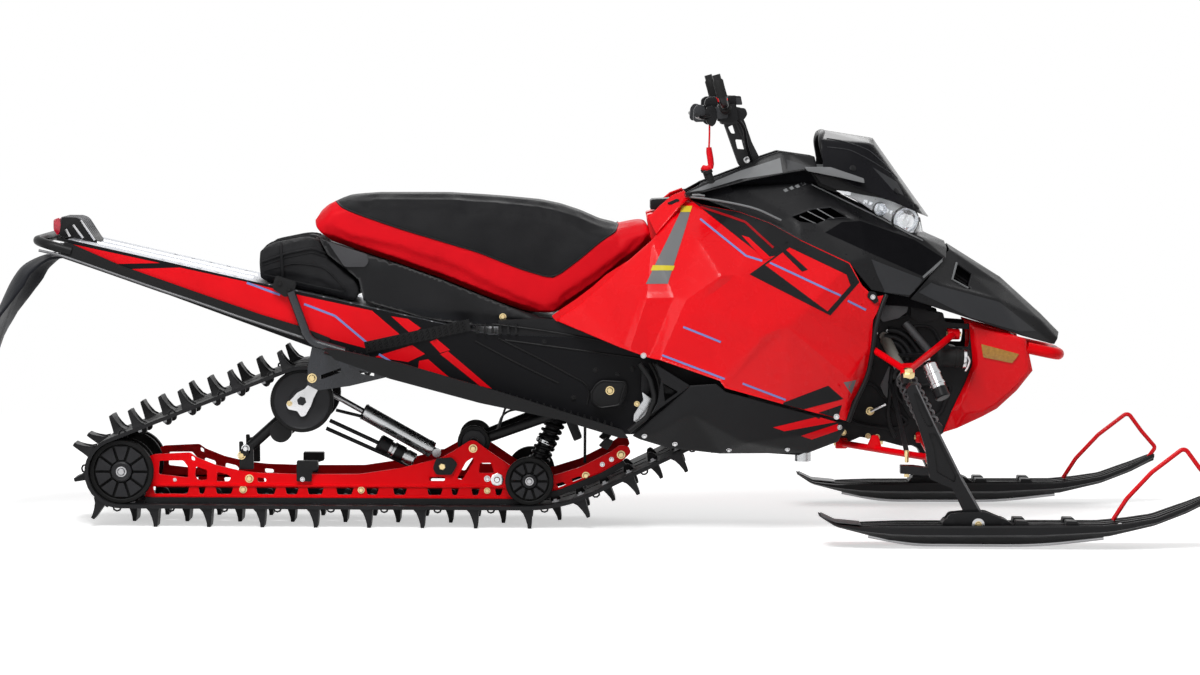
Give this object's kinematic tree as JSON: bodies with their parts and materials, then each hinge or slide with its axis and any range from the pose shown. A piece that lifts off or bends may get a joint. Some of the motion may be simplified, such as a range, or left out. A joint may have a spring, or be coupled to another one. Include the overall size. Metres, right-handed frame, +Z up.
{
  "type": "snowmobile",
  "caption": "Snowmobile with a long lugged track, slide-rail suspension, two steered skis with tow loops, faceted body panels and a two-tone seat.",
  "frame": {"origin": "middle of the machine's length and width, on the ground", "axes": "+X forward, +Y to the rider's left, +Z up"},
  "size_m": [3.3523, 1.224, 1.2447],
  "materials": {
    "red_panel": "gloss red moulded panels",
    "black_panel": "satin black moulding",
    "tunnel_sheet": "bare top, black and red sides",
    "black_metal": "satin black",
    "red_metal": "gloss red powder coat",
    "bright_metal": "brushed",
    "rubber": "matt rubber",
    "wheel_plastic": "moulded",
    "ski_plastic": "satin moulding",
    "seat_cover": "grained black top, red sides",
    "bag_cloth": "woven black",
    "clear_lens": "clear polycarbonate",
    "red_lens": "red lens",
    "smoked_screen": "smoked polycarbonate",
    "switch_plastic": "fine grain",
    "tether_red": "red"
  },
  "bodies": {
    "chassis": {"side_panels": "red_panel", "nose_panels": "red_panel", "hood": "black_panel", "nose_cowl": "black_panel", "console": "black_panel", "lower_panels": "black_panel", "belly_pan": "black_panel", "seat_base": "black_panel", "air_tubes": "black_panel", "tunnel": "tunnel_sheet", "running_boards": "black_metal", "rear_bumper": "black_metal", "tunnel_braces": "black_metal", "front_frame": "black_metal", "engine_block": "black_metal", "rear_swing_arm": "black_metal", "front_swing_arm": "black_metal", "toe_loops": "black_metal", "skid_rails": "red_metal", "upper_arms": "red_metal", "lower_arms": "red_metal", "front_bumper": "red_metal", "skid_shocks": "bright_metal", "front_shocks": "bright_metal", "exhaust_tip": "bright_metal", "drive_axle": "bright_metal", "track": "rubber", "snow_flap": "rubber", "rear_idlers": "wheel_plastic", "upper_idlers": "wheel_plastic", "mid_idlers": "wheel_plastic", "carrier_idlers": "wheel_plastic", "sliders": "wheel_plastic", "seat": "seat_cover", "storage_bag": "bag_cloth", "headlamps": "clear_lens", "tail_lamp": "red_lens", "windshield": "smoked_screen"},
    "handlebar": {"steering_post": "black_metal", "handlebar": "black_metal", "grips": "rubber", "switch_blocks": "switch_plastic", "tether_cord": "tether_red", "tether_cap": "tether_red"},
    "steering_link": {"tie_rods": "black_metal"},
    "spindle_right": {"spindle_right": "black_metal"},
    "spindle_left": {"spindle_left": "black_metal"},
    "ski_right": {"ski_right": "ski_plastic", "ski_loop_right": "red_metal"},
    "ski_left": {"ski_left": "ski_plastic", "ski_loop_left": "red_metal"}
  },
  "joints": [
    {"name": "handlebar_steer", "type": "hinge", "parent": "chassis", "child": "handlebar", "pos_m": [0.461, 0, 0.998], "axis": [-0.3742, 0, 0.9274], "range_deg": [-35, 35]},
    {"name": "rack_slide", "type": "slide", "parent": "chassis", "child": "steering_link", "axis": [0, 1, 0], "range_m": [-0.036, 0.036]},
    {"name": "spindle_right_steer", "type": "hinge", "parent": "chassis", "child": "spindle_right", "pos_m": [0.932, -0.478, 0.228], "axis": [-0.2768, 0.0964, 0.9561], "range_deg": [-29, 29]},
    {"name": "spindle_left_steer", "type": "hinge", "parent": "chassis", "child": "spindle_left", "pos_m": [0.932, 0.478, 0.228], "axis": [-0.2768, -0.0964, 0.9561], "range_deg": [-29, 29]},
    {"name": "ski_right_rock", "type": "hinge", "parent": "spindle_right", "child": "ski_right", "pos_m": [1.046, -0.54, 0.063], "axis": [0, 1, 0], "range_deg": [-15, 12]},
    {"name": "ski_left_rock", "type": "hinge", "parent": "spindle_left", "child": "ski_left", "pos_m": [1.046, 0.54, 0.063], "axis": [0, 1, 0], "range_deg": [-15, 12]}
  ],
  "couplings": [
    {"joint": "rack_slide", "follows": "handlebar_steer", "m_per_rad": -0.0536},
    {"joint": "spindle_right_steer", "follows": "handlebar_steer", "ratio": 0.8},
    {"joint": "spindle_left_steer", "follows": "handlebar_steer", "ratio": 0.8}
  ]
}
